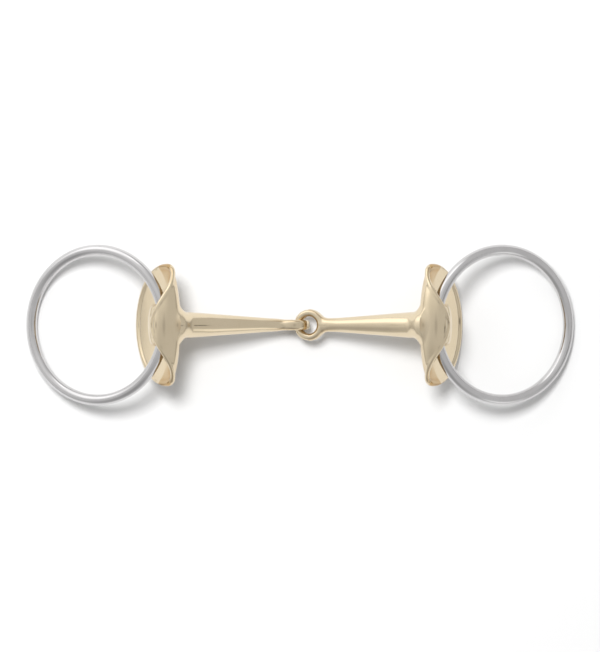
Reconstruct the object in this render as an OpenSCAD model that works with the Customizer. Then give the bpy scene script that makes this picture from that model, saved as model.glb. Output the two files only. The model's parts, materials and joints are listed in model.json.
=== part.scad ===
// Single-jointed loose ring snaffle bit with winged ends.
// The bit lies on a flat surface: the centre joint, the wings and the rings all touch Z = 0.
// X runs along the bit, Y across it, and the origin is on the surface under the middle.

/* [Rings] */
// Inside diameter of each ring
ring_in_d = 70; // [65:1:75]
// Diameter of the ring's rod
ring_rod_d = 5.5; // [5:0.1:6]
// Slope of each ring as it lies, from its hub down to the surface
ring_slope = 24.5; // [22:0.5:26]

/* [Mouthpiece arms] */
// Left arm, from the middle of its eye to the middle of its hub
left_arm_len = 70.2; // [66:0.1:75]
// Right arm, from the middle of its eye to the middle of its hub
right_arm_len = 67.3; // [63:0.1:72]
// Bar diameter next to the wing
bar_outer_d = 13.7; // [12:0.1:15]
// Bar diameter next to the eye
bar_inner_d = 5.8; // [5:0.1:7]
// Radius of the blend between the bar and the back of the wing
root_fillet = 3.6; // [2:0.1:5]

/* [Centre joint] */
// Mean diameter of each eye
eye_mean_d = 12.2; // [11:0.1:14]
// Metal of the eye, measured outward from its middle
eye_radial = 3.4; // [3:0.1:4]
// Metal of the eye, measured along its hole
eye_axial = 5; // [4:0.1:6]
// Free play left between the linked eyes
eye_play = 0.7; // [0.6:0.1:1]
// Radius of the corners of the eye's metal
eye_corner = 1.3; // [1:0.1:1.5]
// Radius of the hollow between the eye and its bar
neck_fillet = 3.8; // [3:0.1:6]

/* [Wings] */
// Diameter of the dished wing
wing_d = 61.4; // [58:0.1:65]
// Thickness of the dish
wing_t = 2.3; // [2:0.1:4]
// Depth of the dish below its rim
wing_depth = 3.8; // [3:0.1:6]
// Diameter of the rounded rim
wing_rim_d = 3; // [2.6:0.1:4]
// Lean of the wing from square to the bar
wing_lean = 8.5; // [5:0.5:12]
// Diameter of the hub round the ring
hub_d = 15.4; // [14:0.1:17]
// Length of the hub along the ring
hub_len = 21; // [18:0.5:26]
// Thickness of the hood that folds over the hub
hood_t = 0.5; // [0.3:0.1:1]
// Clearance all round the ring in its hub
ring_clear = 0.4; // [0.3:0.05:0.6]

/* [Hidden] */

$fn = 96;
// Facets of the long curves
fine_fn = 240;
// Facets of the way round a rod or a wing
round_fn = 144;
// Size of a cutting block that reaches past every wing
past = 80;

gold = [0.83, 0.76, 0.62];
steel = [0.78, 0.78, 0.79];

ring_r = (ring_in_d + ring_rod_d) / 2;
rod_r = ring_rod_d / 2;
bore_r = rod_r + ring_clear;
hub_height = 2 * ring_r * sin(ring_slope) + rod_r;
// Slope of the ring against the bar at the top of its swing
swing_high = 6;

eye_r = eye_mean_d / 2;
eye_out_r = eye_r + eye_radial / 2;
eye_hole_r = eye_r - eye_radial / 2;
// The right eye's rod sits this far from the middle of the left eye's hole
eye_offset = eye_hole_r - eye_radial / 2 - eye_play;
joint_height = eye_out_r;

arm_rise = hub_height - joint_height;
left_slope = asin(arm_rise / left_arm_len);
right_reach = right_arm_len + eye_r + eye_offset;
right_slope = asin(arm_rise / right_reach);
left_run = left_arm_len * cos(left_slope);
right_run = right_reach * cos(right_slope);
// Place of the joint that puts the two hubs the same distance from the origin
joint_x = (left_run - right_run) / 2;
hub_x = (left_run + right_run) / 2;

// The wing's middle, from the middle of the hub
wing_out = -2.1;
wing_drop = 6.07;
wing_r = wing_d / 2;
rim_r = wing_rim_d / 2;
// The rim's back stands this far behind the dish's edge
rim_back = 0.3;
dish_in_r = (pow(wing_r - rim_r, 2) + pow(wing_depth, 2)) / (2 * wing_depth);
// The top of the wing is a flatter curve than its round lower edge
brow_r = 74.6;
brow_sink = 0.4;
brow_top = hub_d / 2 + hood_t - brow_sink;
brow_t = 2.2;
// The wing's top edge is rolled over at the back
brow_roll = 6.5;
brow_roll_out = -2.2;
// The front edge of the hood, from above
hood_r = 34;
hood_reach = 7.4;
hood_half_len = 34;
hood_outer_r = hub_d / 2 + hood_t;
// Metal round the hollow of each ear
ear_wall = 1.9;
ear_depth = 14;
// The bar ends inside the hub, and its blend ends at the back of the wing
bar_end = 4;
root_foot = 8.2;
root_top = 1.2;

// Lays the turning axis of what is built round Z along Y, with Y turned up to Z
module round_y() {
    rotate([90, 0, 0]) children();
}

// Lays what is built round Z along X
module round_x() {
    rotate([0, 90, 0]) children();
}

// Round rod bent to a closed circle round Z
module hoop(mean_r, section_r) {
    rotate_extrude($fn = round_fn) translate([mean_r, 0]) circle(section_r, $fn = 48);
}

// A ring hung in its hub, at an angle from the bar's direction
module hung_ring(angle, section_r) {
    rotate([0, -angle, 0]) translate([ring_r, 0, 0]) hoop(ring_r, section_r);
}

// Pointed barrel along Y, r in radius at its middle
module spindle(r, half_len) {
    curve_r = (pow(half_len, 2) + pow(r, 2)) / (2 * r);
    round_y() rotate_extrude() intersection() {
        translate([r - curve_r, 0]) circle(curve_r, $fn = fine_fn);
        translate([0, -half_len]) square([r + 1, 2 * half_len]);
    }
}

// Section of the hourglass that the bent ring sweeps in its bore, out to a radius
module bore_section(reach, len, clear) {
    difference() {
        translate([0, -len / 2]) square([reach, len]);
        translate([ring_r, 0]) circle(ring_r - rod_r - clear, $fn = fine_fn);
    }
}

// Hourglass bore that clears the bent ring at every angle, round in its throat
module ring_bore(len) {
    throat_len = 5;
    throat_r = bore_r + 0.05;
    round_y() rotate_extrude() bore_section(ring_r / 2, len, ring_clear);
    round_y() cylinder(r = throat_r, h = throat_len, center = true);
}

// Room under the hood and lips for the ring, up to the top of its swing
module swing_room() {
    reach = 20;
    span = 56;
    from = -50;
    clear = ring_clear + 0.2;
    round_y() rotate([0, 0, from])
        rotate_extrude(angle = swing_high - from) bore_section(reach, span, clear);
    hung_ring(swing_high, bore_r);
}

// Places a child built round the dish's own axis
module at_wing() {
    translate([wing_out, 0, -wing_drop]) rotate([0, 90 - wing_lean, 0]) children();
}

// What lies in front of the back of the dish, out to radius r and up to a height
module dish_outside(r, top) {
    rotate_extrude($fn = round_fn) intersection() {
        translate([0, dish_in_r - wing_depth]) circle(dish_in_r + wing_t, $fn = fine_fn);
        translate([0, -past / 2]) square([r, past / 2 + top]);
    }
}

// Dished plate with a rounded rim
module dish() {
    at_wing() {
        difference() {
            dish_outside(wing_r - rim_r, 1);
            rotate_extrude($fn = round_fn) intersection() {
                translate([0, dish_in_r - wing_depth]) circle(dish_in_r, $fn = fine_fn);
                translate([0, -past / 2]) square([past / 2, past]);
            }
        }
        translate([0, 0, rim_back - rim_r]) hoop(wing_r - rim_r, rim_r);
    }
}

// Solid whose top edge is the wing's brow, rolled over at the back
module brow(inset) {
    depth = 20;
    roll_r = brow_r - brow_roll;
    translate([brow_roll_out, 0, brow_top - brow_r]) round_x() rotate_extrude($fn = fine_fn) {
        translate([0, -depth]) square([roll_r, 2 * depth]);
        square([brow_r - inset, depth]);
        translate([roll_r, 0]) circle(brow_roll - inset);
    }
}

// Hood and lips that fold over the ring from the top of the wing
module hood() {
    wall_front = 0.5;
    intersection() {
        translate([hood_reach - hood_r, 0, 0]) cylinder(r = hood_r, h = past / 4, $fn = fine_fn);
        at_wing() dish_outside(wing_r - rim_back, past / 2);
        union() {
            spindle(hood_outer_r, hood_half_len);
            difference() {
                brow(0);
                brow(brow_t);
                translate([wall_front, -past / 2, -past / 2]) cube(past);
            }
        }
    }
}

// Space inside each ear, between its lip and the dish
module ear_hollow() {
    for (side = [-1, 1]) {
        intersection() {
            spindle(hood_outer_r - ear_wall, hood_half_len);
            translate([0, side * (hub_len + ear_depth) / 2, 0])
                cube([past, ear_depth, past], center = true);
        }
    }
}

// Barrel round the ring
module hub() {
    intersection() {
        spindle(hub_d / 2, hood_half_len);
        cube([past, hub_len, past], center = true);
    }
}

// Blend from the bar to the back of the wing
module root() {
    fillet_r = bar_outer_d / 2 + root_fillet;
    intersection() {
        translate([-root_foot, 0, 0]) round_x() rotate_extrude() difference() {
            translate([0, -root_fillet]) square([fillet_r, root_fillet + root_top]);
            translate([fillet_r, -root_fillet]) circle(root_fillet);
        }
        brow(0);
    }
}

// Wing with its hub, built round the middle of the hub
module wing() {
    difference() {
        union() {
            intersection() {
                dish();
                brow(0);
            }
            hub();
            hood();
            root();
        }
        ear_hollow();
        ring_bore(hub_len + 2);
        swing_room();
    }
}

// Tapered bar from the eye at the origin to the hub, along X
module bar(len) {
    round_x() rotate_extrude()
        polygon([
            [0, eye_r],
            [bar_inner_d / 2, eye_r],
            [bar_outer_d / 2, len - root_foot],
            [bar_outer_d / 2, len - bar_end],
            [0, len - bar_end]
        ]);
}

// Section of the eye's metal, rounded at its corners
module eye_section() {
    square([eye_radial - 2 * eye_corner, eye_axial], center = true);
    square([eye_radial, eye_axial - 2 * eye_corner], center = true);
    for (x = [-1, 1], y = [-1, 1])
        translate([x * (eye_radial / 2 - eye_corner), y * (eye_axial / 2 - eye_corner)])
            circle(eye_corner);
}

// Linking eye round Z, with the neck that carries it on the bar
module eye() {
    neck_t = eye_axial - 1.2 * eye_corner;
    side = bar_inner_d / 2 + neck_fillet;
    reach = sqrt(pow(eye_out_r + neck_fillet, 2) - pow(side, 2));
    rotate_extrude() translate([eye_r, 0]) eye_section();
    linear_extrude(neck_t, center = true) difference() {
        polygon([[0, 0], [reach, side], [reach, -side]]);
        for (y = [-side, side]) translate([reach, y]) circle(neck_fillet);
        circle(eye_r);
    }
}

// A whole arm along X, with its eye round Z at the origin
module arm(len, eye_turn) {
    difference() {
        bar(len);
        rotate([eye_turn, 0, 0]) cylinder(r = eye_r, h = 4 * eye_axial, center = true);
        translate([len, 0, 0]) ring_bore(hub_len);
    }
    rotate([eye_turn, 0, 0]) eye();
    translate([len, 0, 0]) wing();
}

module left_arm() {
    color(gold) translate([joint_x, 0, joint_height])
        mirror([1, 0, 0]) rotate([0, -left_slope, 0]) arm(left_arm_len, 90);
}

module right_arm() {
    color(gold) translate([joint_x, 0, joint_height])
        rotate([0, -right_slope, 0]) translate([eye_r + eye_offset, 0, 0]) arm(right_arm_len, 0);
}

module right_ring() {
    color(steel) translate([hub_x, 0, hub_height]) hung_ring(-ring_slope, rod_r);
}

module left_ring() {
    mirror([1, 0, 0]) right_ring();
}

left_arm();
right_arm();
left_ring();
right_ring();
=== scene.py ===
import json
import math

import bpy
import numpy as np
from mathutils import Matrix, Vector


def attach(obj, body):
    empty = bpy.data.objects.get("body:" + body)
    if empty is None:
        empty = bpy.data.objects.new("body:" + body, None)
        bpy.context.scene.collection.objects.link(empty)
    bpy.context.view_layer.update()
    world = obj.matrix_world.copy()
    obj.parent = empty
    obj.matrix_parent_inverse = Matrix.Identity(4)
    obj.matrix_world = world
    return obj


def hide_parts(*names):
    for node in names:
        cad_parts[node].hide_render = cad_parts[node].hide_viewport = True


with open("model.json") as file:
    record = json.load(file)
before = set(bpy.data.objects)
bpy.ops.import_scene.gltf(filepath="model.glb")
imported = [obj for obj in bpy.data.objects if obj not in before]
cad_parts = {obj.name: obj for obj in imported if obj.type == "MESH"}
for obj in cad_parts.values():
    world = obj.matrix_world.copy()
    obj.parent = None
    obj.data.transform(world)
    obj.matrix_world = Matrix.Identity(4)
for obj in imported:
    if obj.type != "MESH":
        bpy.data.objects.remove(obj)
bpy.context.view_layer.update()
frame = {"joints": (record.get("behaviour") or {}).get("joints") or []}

# ---------------------------------------------------------------- the frame
# Shapes are worked out in millimetres and become metres when a mesh is made.
MM = 1000.0
JOINTS = {joint["name"]: joint for joint in frame["joints"]}


def joint_point(name):
    """A joint's place, in millimetres."""
    return np.array(JOINTS[name]["pos_m"]) * MM


CENTRE = joint_point("centre_fold")
HUBS = {"left": joint_point("left_ring_swing"), "right": joint_point("right_ring_swing")}

# ---------------------------------------------------------------- sizes, in millimetres
# Each arm is made along +x from the middle of its eye, with +z up. Round its hub the same
# directions are called u (outwards), v (across) and w (up), measured from the hub's middle.
# A corner or blend is the width over which two neighbouring surfaces run into each other.

# The ring and the space it swings through: angles of its plane to the bar's line, in degrees
ROD_R = 2.75
RING_R = 37.75
RING_CLEAR = 0.35
SWING_LOW, SWING_HIGH = -79.0, 6.4
BORE_CORNER = 0.6
RING_STEPS, ROD_STEPS = 320, 64

# The eye: the middle circle of its metal, and the metal's half width and half thickness
EYE_R = 6.1
EYE_RADIAL, EYE_AXIAL, EYE_CORNER = 1.7, 2.5, 1.55
EYE_BLEND = 1.0
# The right eye's middle is this much more than EYE_R from the centre joint
EYE_OFFSET = 2.0

# The flat neck between the eye and the bar, which shrinks into the bar past NECK_KEEPS
NECK_HALF, NECK_CORNER = 2.45, 2.6
NECK_FILLET, NECK_BLEND = 3.8, 1.8
NECK_KEEPS, NECK_FADE = 10.0, 0.12
NECK_END = 4 * EYE_R
NECK_STARTS, NECK_START_CORNER = EYE_R - 0.4, 1.2

# The tapered bar, a little thinner right at the eye and raised on top towards the hub. Its
# taper and the bar itself end at TAPER_ENDS and BAR_ENDS from the hub's middle.
BAR_INNER_R, BAR_OUTER_R, TAPER_ENDS = 2.9, 6.85, 8.2
BAR_START, BAR_GROWS = 0.55, 7.0
BAR_ENDS, BAR_LIFTS, BAR_LIFT = 7.0, 24.0, 1.25
BAR_START_CORNER = 2.0

# The fillet where the bar runs into the wing. It grows to full over ROOT_FADE, from ROOT_BEHIND
# behind the dish's front or from the height ROOT_ABOVE, and is larger on top, round CROWN_UP.
ROOT_FILLET = 3.8
ROOT_BEHIND, ROOT_ABOVE, ROOT_FADE = 0.3, -2.0, 1.5
ROOT_CROWN, CROWN_UP, CROWN_SPREAD = 0.7, 2.5, 2.5
LEAST_FILLET = 0.05

# The wing: a round dish with a rolled rim, which leans, and whose middle is placed from the hub
WING_R = 30.7
WING_T = 2.3
WING_DEPTH = 3.8
WING_LEAN = math.radians(8.5)
WING_OUT, WING_DROP = -2.1, 6.07
DISH_TILT = math.pi / 2 - WING_LEAN
PLATE_INSET, PLATE_SIDES, PLATE_CORNER = 1.0, 0.8, 1.2
RIM_R, RIM_BACK, RIM_BLEND = 1.5, 0.3, 0.9
RIM_CIRCLE, RIM_ALONG = WING_R - RIM_R, RIM_BACK - RIM_R
DISH_R = (RIM_CIRCLE ** 2 + WING_DEPTH ** 2) / (2 * WING_DEPTH)
DISH_CENTRE = DISH_R - WING_DEPTH

# The hub, a barrel along v. Its fillet to the wing is none above the first height of HUB_UNDER
# and full below the second.
HUB_R, HUB_HALF, HUB_CURVE, HUB_CORNER = 7.9, 10.5, 36.0, 2.6
HUB_BLEND, HUB_FILLET = 0.5, 1.15
HUB_UNDER = (-1.0, -2.5)

# The hood over the hub, and the wing's top edge (the brow) that rolls forward into it
HOOD_R, HOOD_HALF = 8.2, 34.0
HOOD_WALL, HOOD_BLEND = 1.9, 1.0
HOOD_BACK_EDGE, HOOD_INSET = 3.5, 0.8
HOOD_FRONT_EDGE = 0.4
HOOD_FOOT, HOOD_FOOT_CORNER = -1.0, 1.5
HOLLOW_CORNER, HOLLOW_EDGE = 1.0, 0.9
BROW_R, BROW_TOP = 74.6, 7.8
ROLL_R, ROLL_OUT, ROLL_BLEND = 6.6, -2.2, 2.0
EAR_CORNER = 4.5

# The hood's hollow side meets the dish in a round scoop. Each pair is where the scoop starts and
# where it is full: distance to the hood's outer surface, to the dish's front, and along v.
SCOOP_R = 2.6
SCOOP_UNDER, SCOOP_FRONT, SCOOP_ACROSS = (-0.6, -2.6), (0.5, -1.5), (26.0, 20.0)

# The lip, a bead along the hood's front edge and round each ear's tip into the rim
LIP_R = 1.15
LIP_FRONT, LIP_BACK = 6.9, -4.2
LIP_BEND = (5.0, 0.06)
LIP_TURN_V = 24.5
LIP_HOOD_POINTS, LIP_TIP_POINTS = 26, 19
LIP_LAST = LIP_HOOD_POINTS + LIP_TIP_POINTS
# Where the lip joins the rim, and its last points past there, in degrees round the rim
LIP_JOIN = 82
LIP_TAIL = range(3, 31, 3)
LIP_PULL = (2.6, 2.4)
LIP_SLOPE = 1.12
LIP_NEAR, LIP_BLEND = 4.0, 0.8
# The bead's radius at some of its points, by their numbers
LIP_KNOTS = (0, 25, 35, 44, 50)
LIP_RADII = (LIP_R, LIP_R, 1.3, 1.1, 0.2)

# Extra amber tarnishing and painted shade in the ears, from EAR_SKIN under the hood's surface to
# EAR_REACH from the lip
EAR_SKIN, EAR_REACH, EAR_SHADE = 1.2, 10.0, 0.34

# The grid that each arm is sampled on, in blocks of its points, and its room round the arm
GRID_STEP = 0.45
BLOCK, BLOCK_REACH, BLOCKS_AT_ONCE = 8, 1.1, 600
GRID_SIDE, GRID_UP, GRID_OUT = 1.5, 2.5, 9.5
RELAX_ROUNDS, RELAX_SHARE = 4, 0.6
# Distances out from the surface at which each point's enclosure is sampled, for the painted shade and
# amber tarnishing in hollows
ENCLOSED_REACHES = (1.5, 4.0, 9.0)
FAR = 1e3


# ---------------------------------------------------------------- distance fields
def ramp(value, start, full):
    """0 up to start, rising evenly to 1 at full. Full may be the lower of the two."""
    return np.clip((value - start) / (full - start), 0, 1)


def soft_min(a, b, blend):
    """The lesser distance, with the two surfaces blended together over that width."""
    reach = np.maximum(blend - np.abs(a - b), 0.0) / blend
    return np.minimum(a, b) - reach * reach * blend / 4


def soft_max(a, b, blend):
    """The greater distance, with the corner between the two surfaces rounded."""
    return -soft_min(-a, -b, blend)


def fillet_min(a, b, radius):
    """The lesser distance, with a round fillet where the two surfaces meet."""
    corner = np.hypot(np.maximum(radius - a, 0), np.maximum(radius - b, 0))
    return np.maximum(radius, np.minimum(a, b)) - corner


def spindle(u, v, w, radius, half):
    """Pointed barrel along v."""
    curve = (half ** 2 + radius ** 2) / (2 * radius)
    return np.hypot(np.hypot(u, w) + curve - radius, v) - curve


def ring_sweep(u, v, w):
    """Distance to the space that the ring's rod sweeps through in its hub."""
    turn = np.degrees(np.arctan2(w, u))
    out = np.hypot(u, w)

    def rod(plane):
        off = np.radians(turn - plane)
        along, aside = out * np.cos(off), out * np.sin(off)
        return np.hypot(np.hypot(along - RING_R, v) - RING_R, aside) - ROD_R

    near = np.clip(turn, SWING_LOW, SWING_HIGH)
    opposite = np.where(turn > 0, turn - 180, turn + 180)
    far = np.clip(opposite, SWING_LOW, SWING_HIGH)
    return np.minimum.reduce([rod(near), rod(far), rod(SWING_LOW), rod(SWING_HIGH)])


def dish_frame(u, v, w):
    """Radius from the dish's axis, and height along it."""
    out, up = u - WING_OUT, w + WING_DROP
    across = out * math.cos(DISH_TILT) - up * math.sin(DISH_TILT)
    along = out * math.sin(DISH_TILT) + up * math.cos(DISH_TILT)
    return np.hypot(across, v), along


def rim_point(angle):
    """A point on the middle circle of the wing's rolled rim."""
    across = -RIM_CIRCLE * math.cos(angle)
    return np.array([
        WING_OUT + across * math.cos(DISH_TILT) + RIM_ALONG * math.sin(DISH_TILT),
        RIM_CIRCLE * math.sin(angle),
        -WING_DROP - across * math.sin(DISH_TILT) + RIM_ALONG * math.cos(DISH_TILT),
    ])


def brow_rise(v, w):
    """Distance above the arc that is the middle line of the wing's rolled top edge."""
    return np.hypot(v, w - (BROW_TOP - BROW_R)) - (BROW_R - ROLL_R)


def cover_of(u, v, w):
    """Outer shape of the hood and of the wing's rolled top edge."""
    barrel = spindle(u, v, w, HOOD_R, HOOD_HALF)
    roll = np.hypot(brow_rise(v, w), u - ROLL_OUT) - ROLL_R
    return soft_min(barrel, roll, ROLL_BLEND)


def lip_line():
    """Points along the lip, from the middle of the hood's front edge round an ear's tip."""
    v = np.linspace(0.0, LIP_TURN_V, LIP_HOOD_POINTS)
    turn = np.radians(LIP_BEND[0] * v + LIP_BEND[1] * v * v)
    u = LIP_BACK + (LIP_FRONT - LIP_BACK) * (1 + np.cos(turn)) / 2
    # The height where the line runs in the middle of the hood's wall, found by halving
    halvings = 40
    low, high = np.zeros_like(v), np.full_like(v, BROW_TOP + 2)
    for _ in range(halvings):
        w = (low + high) / 2
        outside = cover_of(u, v, w) > -HOOD_WALL / 2
        low, high = np.where(outside, low, w), np.where(outside, w, high)
    hood = np.stack([u, v, w], 1)

    # Round the ear's tip the line is one smooth curve from the hood's edge to the rim
    start, end = hood[-1], rim_point(math.radians(LIP_JOIN))
    leave = hood[-1] - hood[-2]
    arrive = rim_point(math.radians(LIP_JOIN + 1)) - end
    first = start + leave / np.linalg.norm(leave) * LIP_PULL[0]
    second = end - arrive / np.linalg.norm(arrive) * LIP_PULL[1]
    t = np.linspace(0, 1, LIP_TIP_POINTS + 1)[1:, None]
    tip = (1 - t) ** 3 * start + 3 * t * (1 - t) ** 2 * first
    tip = tip + 3 * t * t * (1 - t) * second + t ** 3 * end
    tail = np.array([rim_point(math.radians(LIP_JOIN + step)) for step in LIP_TAIL])
    return np.concatenate([hood, tip, tail])


def tube_along(line, thick, u, v, w):
    """Distance to a round tube along a line of points, with its radius at each of them."""
    place = np.stack([u, v, w], 1)
    found = np.full(len(place), FAR)
    for k in range(len(line) - 1):
        span = line[k + 1] - line[k]
        offset = place - line[k]
        t = np.clip(offset @ span / (span @ span), 0, 1)
        away = offset - t[:, None] * span
        reach = np.sqrt((away * away).sum(1)) - (thick[k] + t * (thick[k + 1] - thick[k]))
        np.minimum(found, reach, out=found)
    return found


LIP = lip_line()
LIP_THICK = np.interp(np.arange(len(LIP)), LIP_KNOTS, LIP_RADII)


def beside_lip(u, v, w):
    """Painted shade and tarnishing: 1 on an ear's inner side right next to the lip, fading to 0 away
    from it.
    """
    away = np.full(len(u), FAR)
    near = (u > -WING_R / 3) & (w > -WING_R / 2)
    away[near] = tube_along(LIP, np.zeros(len(LIP)), u[near], v[near], w[near])
    inside = np.clip(-cover_of(u, v, w) - EAR_SKIN, 0, 1)
    return inside * np.clip(1 - (away - LIP_R) / EAR_REACH, 0, 1)


def wing(u, v, w):
    """The wing with its hood and hub, from the middle of the hub."""
    v = np.abs(v)
    r, along = dish_frame(u, v, w)
    ball = np.hypot(r, along - DISH_CENTRE)
    back, front = ball - (DISH_R + WING_T), ball - DISH_R
    plate = soft_max(soft_max(back, -front, PLATE_SIDES), r - (WING_R - PLATE_INSET), PLATE_CORNER)
    rim = np.hypot(r - RIM_CIRCLE, along - RIM_ALONG) - RIM_R
    dish = soft_min(plate, rim, RIM_BLEND)
    behind = ROLL_OUT - u
    brow = np.hypot(np.maximum(brow_rise(v, w), 0), np.maximum(behind, 0)) - ROLL_R
    dish = soft_max(dish, brow, EAR_CORNER)

    cover = cover_of(u, v, w)
    cover = soft_max(cover, r - (WING_R - RIM_BACK), EAR_CORNER)
    cover = soft_max(cover, back + HOOD_INSET, HOOD_BACK_EDGE)
    hollow = soft_max(cover + HOOD_WALL, front, HOLLOW_CORNER)
    edge = np.interp(v, LIP[:LIP_LAST, 1], LIP[:LIP_LAST, 0])
    hood = soft_max(cover, (u - edge) / LIP_SLOPE, HOOD_FRONT_EDGE)
    hood = soft_max(hood, HOOD_FOOT - w, HOOD_FOOT_CORNER)
    hood = soft_max(hood, -hollow, HOLLOW_EDGE)
    lip = np.full(len(u), FAR)
    near = (np.minimum(dish, hood) < LIP_NEAR) & (w > -WING_R)
    lip[near] = tube_along(LIP, LIP_THICK, u[near], v[near], w[near])
    hood = soft_min(hood, lip, LIP_BLEND)

    scoop = ramp(cover, *SCOOP_UNDER) * ramp(front, *SCOOP_FRONT) * ramp(v, *SCOOP_ACROSS)
    scooped = fillet_min(dish, hood, LEAST_FILLET + SCOOP_R * scoop)
    shell = np.minimum(soft_min(dish, hood, HOOD_BLEND), scooped)

    hub = np.hypot(np.hypot(u, w) + HUB_CURVE - HUB_R, v) - HUB_CURVE
    hub = soft_max(hub, v - HUB_HALF, HUB_CORNER)
    filled = fillet_min(shell, hub, LEAST_FILLET + HUB_FILLET * ramp(w, *HUB_UNDER))
    return np.minimum(soft_min(shell, hub, HUB_BLEND), filled)


def arm(points, length, eye_along_v):
    """A whole arm along +x from the middle of its eye, with its hub at x = length."""
    x, y, z = points.T
    side, high = (z, y) if eye_along_v else (y, z)

    out = np.hypot(x, side)
    metal_x = np.abs(out - EYE_R) - (EYE_RADIAL - EYE_CORNER)
    metal_y = np.abs(high) - (EYE_AXIAL - EYE_CORNER)
    eye = np.hypot(np.maximum(metal_x, 0), np.maximum(metal_y, 0))
    eye += np.minimum(np.maximum(metal_x, metal_y), 0) - EYE_CORNER

    taper = (BAR_OUTER_R - BAR_INNER_R) / (length - TAPER_ENDS - EYE_R)
    bar_r = np.clip(BAR_INNER_R + taper * (x - EYE_R), BAR_INNER_R, BAR_OUTER_R)
    bar_r = bar_r - BAR_START * np.clip(1 - (x - EYE_R) / BAR_GROWS, 0, 1) ** 2
    near_hub = np.clip((x - length + BAR_LIFTS) / (BAR_LIFTS - BAR_ENDS), 0, 1)
    lift = BAR_LIFT * near_hub * near_hub * (3 - 2 * near_hub)
    top = np.where(z > 0, z * BAR_OUTER_R / (BAR_OUTER_R + lift), z)
    bar = np.maximum(np.hypot(y, top) - bar_r, x - (length - BAR_ENDS))
    ahead = np.where(x > 0, out, 0)
    bar = soft_max(bar, EYE_R - ahead, BAR_START_CORNER)

    fade = NECK_FADE * np.maximum(x - NECK_KEEPS, 0)
    eye_edge = out - (EYE_R + EYE_RADIAL)
    outline = fillet_min(eye_edge, np.abs(side) - BAR_INNER_R + fade, NECK_FILLET)
    outline = np.maximum(outline, x - NECK_END)
    neck = soft_max(outline, np.abs(high) - NECK_HALF + fade, NECK_CORNER)
    neck = soft_max(neck, NECK_STARTS - ahead, NECK_START_CORNER)
    body = soft_min(soft_min(bar, neck, NECK_BLEND), eye, EYE_BLEND)

    u, v, w = x - length, y, z
    r, along = dish_frame(u, v, w)
    behind = np.hypot(r, along - DISH_CENTRE) - DISH_R
    keep = np.clip(np.maximum(behind - ROOT_BEHIND, w - ROOT_ABOVE) / ROOT_FADE, 0, 1)
    on_top = (1 + np.tanh((w - CROWN_UP) / CROWN_SPREAD)) / 2
    crown = 1 + ROOT_CROWN * np.exp(-(v / BAR_OUTER_R) ** 2) * on_top
    body = fillet_min(body, wing(u, v, w), LEAST_FILLET + ROOT_FILLET * keep * crown)
    return soft_max(body, RING_CLEAR - ring_sweep(u, v, w), BORE_CORNER)


# ---------------------------------------------------------------- meshes from the fields
def sampled(field, low, shape, step):
    """The field on a grid. Blocks far from the surface are filled with their middle's value."""
    counts = [-(-n // BLOCK) for n in shape]
    values = np.empty([c * BLOCK for c in counts], np.float32)
    middles = np.stack(np.meshgrid(*[np.arange(c) for c in counts], indexing="ij"), -1).reshape(-1, 3)
    rough = field(low + (middles * BLOCK + (BLOCK - 1) / 2) * step)
    near = np.abs(rough) < BLOCK * step * BLOCK_REACH
    blocks = values.reshape(counts[0], BLOCK, counts[1], BLOCK, counts[2], BLOCK)
    blocks = blocks.transpose(0, 2, 4, 1, 3, 5)
    blocks[...] = rough.reshape(counts)[..., None, None, None]
    inner = np.stack(np.meshgrid(*[np.arange(BLOCK)] * 3, indexing="ij"), -1).reshape(-1, 3)
    for chunk in np.array_split(middles[near], max(1, near.sum() // BLOCKS_AT_ONCE)):
        points = low + (chunk[:, None] * BLOCK + inner[None]) * step
        found = field(points.reshape(-1, 3)).reshape(-1, BLOCK, BLOCK, BLOCK)
        blocks[chunk[:, 0], chunk[:, 1], chunk[:, 2]] = found
    return values


def surface_net(values):
    """One point in each grid cell that the surface passes through, joined by four-sided faces."""
    inside = values < 0
    cells = tuple(n - 1 for n in values.shape)
    total = np.zeros((np.prod(cells), 3))
    count = np.zeros(np.prod(cells))
    faces = []
    for axis in range(3):
        lows = [slice(None)] * 3
        highs = [slice(None)] * 3
        lows[axis], highs[axis] = slice(None, -1), slice(1, None)
        lows, highs = tuple(lows), tuple(highs)
        edges = np.argwhere(inside[lows] != inside[highs])
        a = values[lows][tuple(edges.T)]
        b = values[highs][tuple(edges.T)]
        place = edges.astype(float)
        place[:, axis] += a / (a - b)
        first, second = [n for n in range(3) if n != axis]
        loop = []
        for step_1, step_2 in ((-1, -1), (0, -1), (0, 0), (-1, 0)):
            cell = edges.copy()
            cell[:, first] += step_1
            cell[:, second] += step_2
            flat = np.ravel_multi_index(cell.T, cells)
            for k in range(3):
                total[:, k] += np.bincount(flat, place[:, k], len(count))
            count += np.bincount(flat, minlength=len(count))
            loop.append(flat)
        face = np.stack(loop, 1)
        backward = (a > 0) != (axis == 1)
        face[backward] = face[backward][:, ::-1]
        faces.append(face)
    used = np.flatnonzero(count)
    number = np.zeros(len(count), np.int64)
    number[used] = np.arange(len(used))
    return total[used] / count[used][:, None], number[np.concatenate(faces)]


def slope_of(field, points, reach=0.02):
    """The field and its gradient at the points."""
    gradient = np.empty_like(points)
    for axis in range(3):
        shift = np.zeros(3)
        shift[axis] = reach
        gradient[:, axis] = (field(points + shift) - field(points - shift)) / (2 * reach)
    return field(points), gradient


def onto_surface(field, points, step, rounds):
    """Moves each point to the surface, at most one step in a round."""
    least_slope, least_move = 0.05, 1e-9
    for _ in range(rounds):
        value, gradient = slope_of(field, points)
        size = np.maximum((gradient ** 2).sum(1), least_slope)
        move = gradient * (value / size)[:, None]
        length = np.linalg.norm(move, axis=1)
        move *= np.minimum(1, step / np.maximum(length, least_move))[:, None]
        points = points - move
    return points


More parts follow.
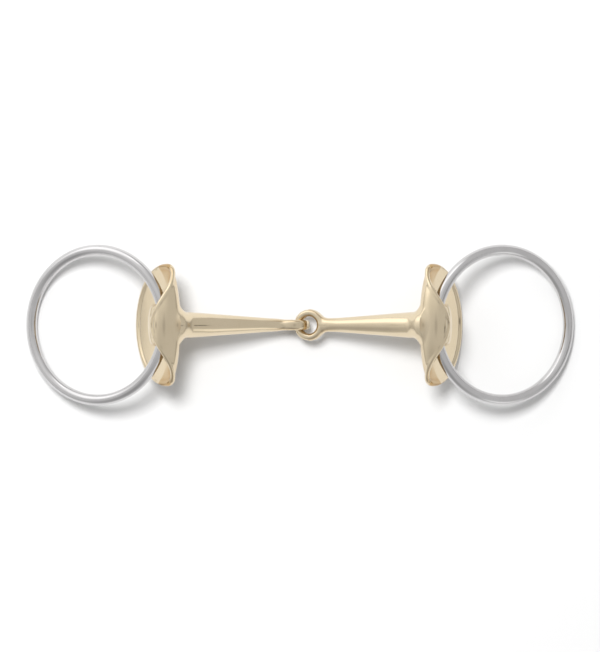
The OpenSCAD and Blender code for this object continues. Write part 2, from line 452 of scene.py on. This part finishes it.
def relaxed(field, points, faces, step, rounds):
    """Evens out the faces while every point stays on the surface."""
    starts, ends = faces.ravel(), np.roll(faces, -1, axis=1).ravel()
    links = np.bincount(starts, minlength=len(points))
    for _ in range(rounds):
        middle = np.stack([np.bincount(starts, points[ends, k], len(points)) for k in range(3)], 1)
        points = points + RELAX_SHARE * (middle / links[:, None] - points)
        points = onto_surface(field, points, step, 1)
    return onto_surface(field, points, step, 2)


def solid_from(field, low, high, step):
    """Points, faces, outward directions and how enclosed each point is."""
    low, high = np.array(low, float), np.array(high, float)
    shape = np.ceil((high - low) / step).astype(int) + 1
    points, faces = surface_net(sampled(field, low, shape, step))
    points = relaxed(field, low + points * step, faces, step, RELAX_ROUNDS)
    _, gradient = slope_of(field, points)
    outward = gradient / np.linalg.norm(gradient, axis=1)[:, None]
    # How enclosed each point is: the alloy's amber tarnishing and painted shade in hollows and
    # creases follow it
    enclosed = np.zeros(len(points))
    for reach in ENCLOSED_REACHES:
        share = np.clip(1 - field(points + outward * reach) / reach, 0, 1)
        enclosed += share / len(ENCLOSED_REACHES)
    return points, faces, outward, enclosed


def make_mesh(name, points, faces, outward, values=None):
    """A smooth object of four-sided faces, from points in millimetres."""
    mesh = bpy.data.meshes.new(name)
    mesh.vertices.add(len(points))
    mesh.vertices.foreach_set("co", (points / MM).astype(np.float32).ravel())
    mesh.loops.add(faces.size)
    mesh.loops.foreach_set("vertex_index", faces.astype(np.int32).ravel())
    mesh.polygons.add(len(faces))
    mesh.polygons.foreach_set("loop_start", np.arange(0, faces.size, 4, dtype=np.int32))
    mesh.update(calc_edges=True)
    mesh.shade_smooth()
    mesh.normals_split_custom_set_from_vertices(outward.tolist())
    for key, value in (values or {}).items():
        layer = mesh.attributes.new(key, "FLOAT", "POINT")
        layer.data.foreach_set("value", value.astype(np.float32))
    piece = bpy.data.objects.new(name, mesh)
    bpy.context.scene.collection.objects.link(piece)
    return piece


# ---------------------------------------------------------------- pieces
def build_arm(side):
    """One arm of the mouthpiece, in its place between the centre joint and its hub."""
    mirror = -1.0 if side == "left" else 1.0
    span = HUBS[side] - CENTRE
    reach = np.linalg.norm(span)
    rise = math.asin(span[2] / reach)
    start = 0.0 if side == "left" else EYE_R + EYE_OFFSET
    length = reach - start

    def field(points):
        return arm(points, length, side == "left")

    low = (-EYE_R - EYE_RADIAL - GRID_SIDE, -WING_R - GRID_SIDE, -WING_R - WING_DROP - GRID_UP)
    high = (length + GRID_OUT, WING_R + GRID_SIDE, BROW_TOP + GRID_UP)
    points, faces, outward, enclosed = solid_from(field, low, high, GRID_STEP)
    # Painted shade and amber tarnishing in the ears under the hood, beside the lip
    enclosed += EAR_SHADE * beside_lip(points[:, 0] - length, np.abs(points[:, 1]), points[:, 2])
    turn = np.array([
        [math.cos(rise) * mirror, 0, -math.sin(rise) * mirror],
        [0, 1, 0],
        [math.sin(rise), 0, math.cos(rise)],
    ])
    origin = CENTRE + turn @ np.array([start, 0, 0])
    if mirror < 0:
        faces = faces[:, ::-1]
    placed = points @ turn.T + origin
    piece = make_mesh(side + "_arm_casting", placed, faces, outward @ turn.T, {"enclosed": enclosed})
    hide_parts(side + "_arm")
    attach(piece, side + "_arm")
    return piece


def build_ring(side):
    """One rein ring, hanging from its hub down to the surface."""
    mirror = -1.0 if side == "left" else 1.0
    hub = HUBS[side]
    drop = math.asin((hub[2] - ROD_R) / (2 * RING_R))
    along = np.array([math.cos(drop) * mirror, 0, -math.sin(drop)])
    across = np.array([0, 1.0, 0])
    normal = np.cross(along, across) * mirror
    centre = hub + along * RING_R
    a = np.linspace(0, 2 * math.pi, RING_STEPS, endpoint=False)
    b = np.linspace(0, 2 * math.pi, ROD_STEPS, endpoint=False)
    a, b = np.meshgrid(a, b, indexing="ij")
    spoke = np.cos(a)[..., None] * along + np.sin(a)[..., None] * across
    outward = np.cos(b)[..., None] * spoke + np.sin(b)[..., None] * normal
    points = centre + spoke * RING_R + outward * ROD_R
    index = np.arange(RING_STEPS * ROD_STEPS).reshape(RING_STEPS, ROD_STEPS)
    right, up = np.roll(index, -1, 0), np.roll(index, -1, 1)
    both = np.roll(right, -1, 1)
    faces = np.stack([index, right, both, up], -1).reshape(-1, 4)
    if mirror < 0:
        faces = faces[:, ::-1]
    piece = make_mesh(side + "_ring_rod", points.reshape(-1, 3), faces, outward.reshape(-1, 3))
    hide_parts(side + "_ring")
    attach(piece, side + "_ring")
    return piece


# ---------------------------------------------------------------- materials
ALLOY_DARKER, ALLOY_BRIGHTER = (0.73, 0.615, 0.435, 1), (0.76, 0.645, 0.465, 1)
# Amber of the tarnishing and painted shade in hollows
AMBER = (0.46, 0.285, 0.105, 1)
STEEL_DARKER, STEEL_BRIGHTER = (0.60, 0.59, 0.59, 1), (0.66, 0.65, 0.65, 1)
FLOOR_DARKER, FLOOR_BRIGHTER = (0.61, 0.61, 0.61, 1), (0.63, 0.63, 0.63, 1)
# Scales of the alloy's fine scratches along and across the bars, and the marks' depth in metres
SCRATCHES = (60, 1100, 1100)
GRAIN_SHARE = 0.5
MARK_STRENGTH, MARK_DEPTH = 0.05, 0.00005
# Each range of a noise or of "enclosed" is spread over a range of colour mix or roughness
CLOUD_RANGE, SCRATCH_RANGE, MARK_RANGE = (0.3, 0.7), (0.35, 0.75), (0.4, 0.75)
ENCLOSED_RANGE, TARNISH_AND_SHADE = (0.06, 0.43), (0.0, 0.85)
WHOLE = (0.0, 1.0)
ALLOY_ROUGH, SCRATCHED_ROUGH = (0.125, 0.14), (0.0, 0.03)
STEEL_ROUGH, MARKED_ROUGH = (0.11, 0.13), (0.0, 0.04)
FLOOR_ROUGH = 0.9


class Nodes:
    """Adds nodes to a tree. Each input is a number, a colour or another node's output."""

    def __init__(self, tree):
        self.tree = tree

    def feed(self, socket, value):
        """Links a node's output to the socket, or sets the socket's own value."""
        if isinstance(value, bpy.types.NodeSocket):
            self.tree.links.new(value, socket)
        else:
            socket.default_value = value

    def add(self, kind, settings=None, **inputs):
        """A new node. Inputs are named as its sockets are, with _ for a space."""
        node = self.tree.nodes.new(kind)
        for key, value in (settings or {}).items():
            setattr(node, key, value)
        for key, value in inputs.items():
            self.feed(node.inputs[key.replace("_", " ")], value)
        return node

    def pair(self, kind, operation, first, second):
        """A node with an operation and two inputs, which share one name."""
        node = self.add(kind, {"operation": operation})
        self.feed(node.inputs[0], first)
        self.feed(node.inputs[1], second)
        return node

    def math(self, operation, first, second):
        """A number worked out from two others."""
        return self.pair("ShaderNodeMath", operation, first, second).outputs[0]

    def dot(self, first, second):
        """How far one vector reaches along another."""
        return self.pair("ShaderNodeVectorMath", "DOT_PRODUCT", first, second).outputs["Value"]

    def place(self):
        """The point's place on its object, in metres."""
        return self.add("ShaderNodeTexCoord").outputs["Object"]

    def noise(self, vector, scale, detail, roughness=0.5):
        """Noise from about 0 to 1."""
        return self.add("ShaderNodeTexNoise", Vector=vector, Scale=scale, Detail=detail,
                        Roughness=roughness).outputs["Fac"]

    def fit(self, value, old, new):
        """The value with its old range spread over the new one, and held at its ends."""
        return self.add("ShaderNodeMapRange", Value=value, From_Min=old[0], From_Max=old[1],
                        To_Min=new[0], To_Max=new[1]).outputs["Result"]

    def mix(self, share, first, second):
        """A mix of two colours, whose sockets have numbers because their names repeat."""
        node = self.add("ShaderNodeMix", {"data_type": "RGBA"})
        self.feed(node.inputs[0], share)
        self.feed(node.inputs[6], first)
        self.feed(node.inputs[7], second)
        return node.outputs[2]

    def bump(self, height):
        """The surface's direction with fine marks of this height."""
        return self.add("ShaderNodeBump", Height=height, Strength=MARK_STRENGTH,
                        Distance=MARK_DEPTH).outputs["Normal"]


def new_material(name):
    """A material, a helper for its nodes, and its shader."""
    material = bpy.data.materials.new(name)
    material.use_nodes = True
    tree = material.node_tree
    return material, Nodes(tree), tree.nodes["Principled BSDF"]


def alloy_material():
    """Polished pale gold casting alloy, tarnished amber and darkened with painted shade in its
    hollows.
    """
    material, m, shader = new_material("mouthpiece_alloy")
    place = m.place()
    cloud = m.noise(place, scale=90.0, detail=3.0)
    grain = m.noise(place, scale=900.0, detail=4.0, roughness=0.6)
    stretched = m.add("ShaderNodeMapping", Vector=place, Scale=SCRATCHES).outputs["Vector"]
    scratches = m.noise(stretched, scale=1.0, detail=3.0, roughness=0.7)
    enclosed = m.add("ShaderNodeAttribute", {"attribute_name": "enclosed"}).outputs["Fac"]
    # Painted shade and amber tarnishing, mixed in where the metal is enclosed
    tarnish_and_shade = m.fit(enclosed, ENCLOSED_RANGE, TARNISH_AND_SHADE)
    bright = m.mix(m.fit(cloud, CLOUD_RANGE, WHOLE), ALLOY_DARKER, ALLOY_BRIGHTER)
    rough = m.fit(cloud, CLOUD_RANGE, ALLOY_ROUGH)
    scratched = m.fit(scratches, SCRATCH_RANGE, SCRATCHED_ROUGH)
    height = m.math("ADD", m.math("MULTIPLY", grain, GRAIN_SHARE), scratches)
    m.feed(shader.inputs["Base Color"], m.mix(tarnish_and_shade, bright, AMBER))
    m.feed(shader.inputs["Metallic"], 1.0)
    m.feed(shader.inputs["Roughness"], m.math("ADD", rough, scratched))
    m.feed(shader.inputs["Normal"], m.bump(height))
    return material


def steel_material():
    """Polished stainless steel rod with fine marks."""
    material, m, shader = new_material("ring_steel")
    place = m.place()
    cloud = m.noise(place, scale=70.0, detail=3.0)
    marks = m.noise(place, scale=700.0, detail=5.0, roughness=0.65)
    colour = m.mix(m.fit(cloud, CLOUD_RANGE, WHOLE), STEEL_DARKER, STEEL_BRIGHTER)
    rough = m.fit(cloud, CLOUD_RANGE, STEEL_ROUGH)
    marked = m.fit(marks, MARK_RANGE, MARKED_ROUGH)
    m.feed(shader.inputs["Base Color"], colour)
    m.feed(shader.inputs["Metallic"], 1.0)
    m.feed(shader.inputs["Roughness"], m.math("ADD", rough, marked))
    m.feed(shader.inputs["Normal"], m.bump(marks))
    return material


def floor_material():
    """Plain pale grey, with faint clouds."""
    material, m, shader = new_material("studio_floor")
    cloud = m.noise(m.place(), scale=3.0, detail=2.0)
    m.feed(shader.inputs["Base Color"], m.mix(cloud, FLOOR_DARKER, FLOOR_BRIGHTER))
    m.feed(shader.inputs["Roughness"], FLOOR_ROUGH)
    return material


# ---------------------------------------------------------------- studio, in metres
FLOOR_HALF = 6.0
CAMERA_HEIGHT, VIEW_HEIGHT, CAMERA_Y = 1.5, 0.3325, -0.0005
CAMERA_SENSOR_MM, CAMERA_REACH = 36.0, 20
# The light's azimuth and elevation in degrees, its side, its power in watts and what it lights
KEY_AZIMUTH, KEY_ELEVATION, KEY_DISTANCE = 120, 72, 1.3
KEY_SIDE, KEY_POWER, KEY_AIM = 0.35, 19, (0, 0, 0.02)
AMBIENT = 0.66
# Brighter and darker patches of the surroundings: azimuth, elevation, half width and half height in
# degrees, the edge of the part at full strength as a share of the patch, and added brightness
PATCHES = (
    (125, 22, 40, 28, 0.5, 0.6),
    (97, 34, 18, 13, 0.2, 0.75),
    (-52, 16, 22, 14, 0.4, 0.5),
    (150, 20, 80, 60, 0.1, 0.42),
    (100, 62, 45, 30, 0.1, 0.22),
    (-110, 35, 60, 45, 0.1, -0.25),
    (0, 90, 12, 12, 0.3, -0.15),
    (180, 36, 3, 9, 0.4, -0.5),
    (-4, 29, 4, 7, 0.5, -0.6),
    (180, 3, 55, 10, 0.3, -0.2),
    (0, 3, 55, 10, 0.3, -0.2),
)


def direction_to(azimuth, elevation):
    """A direction from its two angles in degrees. Azimuth 0 is +X and 90 is +Y."""
    a, e = math.radians(azimuth), math.radians(elevation)
    return Vector((math.cos(a) * math.cos(e), math.sin(a) * math.cos(e), math.sin(e)))


def build_floor():
    """A wide flat floor at the height that the bit rests on."""
    half = FLOOR_HALF
    mesh = bpy.data.meshes.new("floor")
    corners = [(-half, -half, 0), (half, -half, 0), (half, half, 0), (-half, half, 0)]
    mesh.from_pydata(corners, [], [(0, 1, 2, 3)])
    floor = bpy.data.objects.new("floor", mesh)
    bpy.context.scene.collection.objects.link(floor)
    mesh.materials.append(floor_material())


def build_world():
    """Even light with brighter and darker soft patches, as large softboxes and a dark camera make."""
    world = bpy.data.worlds.new("studio")
    world.use_nodes = True
    tree = world.node_tree
    n = Nodes(tree)
    direction = n.add("ShaderNodeTexCoord").outputs["Generated"]
    total = AMBIENT
    for azimuth, elevation, half_width, half_height, core, strength in PATCHES:
        middle = direction_to(azimuth, elevation)
        sideways = direction_to(azimuth + 90, 0)
        upward = middle.cross(sideways)
        across = n.dot(direction, sideways / math.sin(math.radians(half_width)))
        above = n.dot(direction, upward / math.sin(math.radians(half_height)))
        offset = n.add("ShaderNodeCombineXYZ", X=across, Y=above).outputs["Vector"]
        away = n.add("ShaderNodeVectorMath", {"operation": "LENGTH"}, Vector=offset).outputs["Value"]
        patch = n.add("ShaderNodeMapRange", {"interpolation_type": "SMOOTHSTEP"}, Value=away,
                      From_Min=1.0, From_Max=core, To_Max=strength).outputs["Result"]
        ahead = n.math("GREATER_THAN", n.dot(direction, middle), 0.0)
        total = n.math("ADD", total, n.math("MULTIPLY", patch, ahead))
    background = tree.nodes["Background"]
    n.feed(background.inputs["Color"], (1, 1, 1, 1))
    n.feed(background.inputs["Strength"], total)
    bpy.context.scene.world = world


def build_light():
    """One soft light from above, which casts the shadows and isn't seen in the metal."""
    data = bpy.data.lights.new("key", "AREA")
    data.shape = "RECTANGLE"
    data.size = KEY_SIDE
    data.size_y = KEY_SIDE
    data.energy = KEY_POWER
    light = bpy.data.objects.new("key", data)
    away = direction_to(KEY_AZIMUTH, KEY_ELEVATION)
    light.location = Vector(KEY_AIM) + away * KEY_DISTANCE
    light.rotation_euler = away.to_track_quat("Z", "Y").to_euler()
    light.visible_glossy = False
    bpy.context.scene.collection.objects.link(light)


def build_camera():
    """Straight above the bit, far away."""
    data = bpy.data.cameras.new("camera")
    data.sensor_width = CAMERA_SENSOR_MM
    data.lens = CAMERA_SENSOR_MM * CAMERA_HEIGHT / VIEW_HEIGHT
    data.clip_end = CAMERA_REACH
    camera = bpy.data.objects.new("camera", data)
    camera.location = (0, CAMERA_Y, CAMERA_HEIGHT)
    bpy.context.scene.collection.objects.link(camera)
    bpy.context.scene.camera = camera
    bpy.context.scene.view_settings.view_transform = "Standard"


alloy = alloy_material()
steel = steel_material()
for side in ("left", "right"):
    build_arm(side).data.materials.append(alloy)
    build_ring(side).data.materials.append(steel)
build_floor()
build_world()
build_light()
build_camera()
